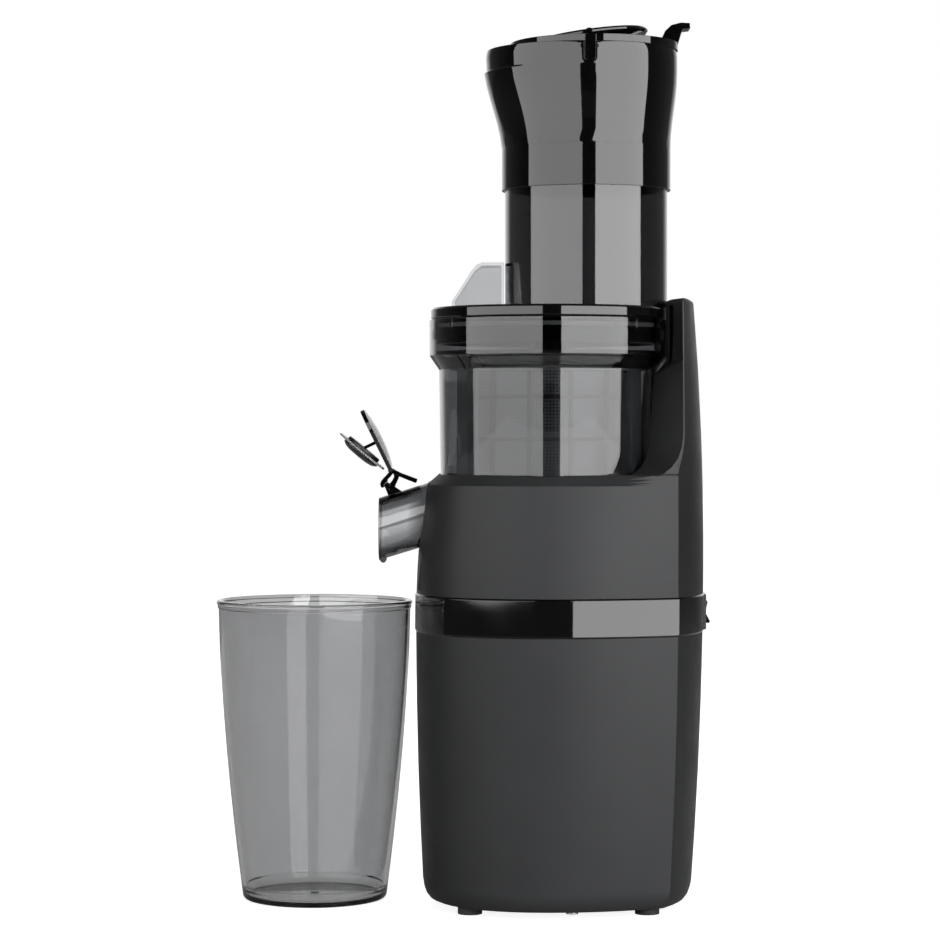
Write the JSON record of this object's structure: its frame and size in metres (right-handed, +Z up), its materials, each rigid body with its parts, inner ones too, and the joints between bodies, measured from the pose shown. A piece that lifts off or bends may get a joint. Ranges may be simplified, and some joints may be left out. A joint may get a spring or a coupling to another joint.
{
  "type": "cold press juicer",
  "caption": "Upright slow juicer: matte base with rear column, smoke bowl with front spout and hinged cap, wide feed tube with flap hopper, and a tall juice cup.",
  "frame": {"origin": "on the auger axis, at the level of the feet", "axes": "+Z up, -Y to the spout and cup, +Y to the column and switch"},
  "size_m": [0.1471, 0.2474, 0.4385],
  "materials": {
    "housing": "soft-touch satin",
    "matte_black": "fine moulded grain",
    "gloss_black": "high gloss",
    "rubber_black": "matte",
    "steel": "turned",
    "aluminium": "die cast",
    "copper": "enamelled winding",
    "brass": "machined",
    "grey_plastic": "matte",
    "white_plastic": "satin acetal",
    "circuit_board": "solder mask",
    "smoke_clear": "clear smoke",
    "smoke_pale": "clear pale smoke",
    "silicone_grey": "satin silicone",
    "silicone_black": "satin silicone",
    "mesh_steel": "etched mesh",
    "auger_resin": "satin resin",
    "wiper_plastic": "satin"
  },
  "bodies": {
    "base": {"feet": "rubber_black", "base_plate": "matte_black", "base_screws": "steel", "lower_housing": "housing", "trim_band": "gloss_black", "upper_housing": "housing", "rear_shell": "housing", "switch_bezel": "matte_black", "switch_block": "grey_plastic", "cable_inlet": "matte_black", "motor_can": "steel", "stator": "copper", "motor_end_cap": "aluminium", "lower_bearing": "steel", "upper_bearing": "steel", "gearbox_housing": "aluminium", "gearbox_cover": "aluminium", "gearbox_screws": "steel", "layshaft_pin": "steel", "output_bearing": "steel", "shaft_seal": "rubber_black", "control_board": "circuit_board", "board_parts": "grey_plastic", "interlock_sensor": "grey_plastic"},
    "rotor": {"rotor_core": "steel", "motor_shaft": "steel", "motor_pinion": "brass", "cooling_fan": "white_plastic"},
    "layshaft": {"first_gear": "white_plastic", "layshaft_pinion": "brass"},
    "output": {"output_gear": "brass", "drive_shaft": "steel"},
    "rocker": {"power_rocker": "gloss_black"},
    "bowl": {"bowl": "smoke_clear", "hub_seal": "silicone_grey", "strainer_frame": "matte_black", "strainer_mesh": "mesh_steel", "spout_bracket": "gloss_black", "idler_pin": "steel"},
    "auger": {"auger": "auger_resin", "auger_gear": "white_plastic"},
    "idler": {"idler_gear": "white_plastic"},
    "wiper": {"wiper_frame": "wiper_plastic", "wiper_blades": "silicone_grey"},
    "lid": {"lid_ring": "gloss_black", "feed_tube": "smoke_clear", "lid_grip": "smoke_pale", "auger_bridge": "smoke_clear", "lid_gasket": "silicone_grey", "lid_magnet": "steel"},
    "hopper": {"hopper": "gloss_black", "hopper_cover": "gloss_black"},
    "flap": {"feed_flap": "gloss_black"},
    "spout_cap": {"spout_lever": "gloss_black", "spout_plug": "silicone_black"},
    "cup": {"juice_cup": "smoke_pale"}
  },
  "joints": [
    {"name": "rotor_spin", "type": "hinge", "parent": "base", "child": "rotor", "pos_m": [0, 0, 0.05], "axis": [0, 0, 1], "continuous": true},
    {"name": "layshaft_spin", "type": "hinge", "parent": "base", "child": "layshaft", "pos_m": [0, 0.0375, 0.11], "axis": [0, 0, 1], "continuous": true},
    {"name": "drive_spin", "type": "hinge", "parent": "base", "child": "output", "pos_m": [0, 0, 0.11], "axis": [0, 0, 1], "continuous": true},
    {"name": "rocker_tilt", "type": "hinge", "parent": "base", "child": "rocker", "pos_m": [0, 0.07471, 0.1455], "axis": [1, 0, 0], "range_deg": [-12, 0]},
    {"name": "bowl_lift", "type": "slide", "parent": "base", "child": "bowl", "axis": [0, 0, 1], "range_m": [0, 0.11]},
    {"name": "auger_spin", "type": "hinge", "parent": "bowl", "child": "auger", "pos_m": [0, 0, 0.2], "axis": [0, 0, 1], "continuous": true},
    {"name": "idler_spin", "type": "hinge", "parent": "bowl", "child": "idler", "pos_m": [0.016, 0, 0.184], "axis": [0, 0, 1], "continuous": true},
    {"name": "wiper_spin", "type": "hinge", "parent": "bowl", "child": "wiper", "pos_m": [0, 0, 0.2], "axis": [0, 0, 1], "continuous": true},
    {"name": "lid_twist", "type": "hinge", "parent": "bowl", "child": "lid", "pos_m": [0, 0, 0.29], "axis": [0, 0, 1], "range_deg": [0, 25]},
    {"name": "hopper_lift", "type": "slide", "parent": "lid", "child": "hopper", "axis": [0, 0, 1], "range_m": [0, 0.05]},
    {"name": "flap_swing", "type": "hinge", "parent": "hopper", "child": "flap", "pos_m": [0, 0.0194, 0.4245], "axis": [1, 0, 0], "range_deg": [-8, 72]},
    {"name": "cap_swing", "type": "hinge", "parent": "bowl", "child": "spout_cap", "pos_m": [0, -0.08025, 0.20838], "axis": [1, 0, 0], "range_deg": [0, 129.5]},
    {"name": "cup_slide", "type": "slide", "parent": "base", "child": "cup", "axis": [0, -1, 0], "range_m": [0, 0.12]}
  ],
  "couplings": [
    {"joint": "layshaft_spin", "follows": "rotor_spin", "ratio": -0.19048},
    {"joint": "drive_spin", "follows": "rotor_spin", "ratio": 0.047619},
    {"joint": "auger_spin", "follows": "rotor_spin", "ratio": 0.047619},
    {"joint": "idler_spin", "follows": "rotor_spin", "ratio": -0.079365},
    {"joint": "wiper_spin", "follows": "rotor_spin", "ratio": -0.021645}
  ]
}
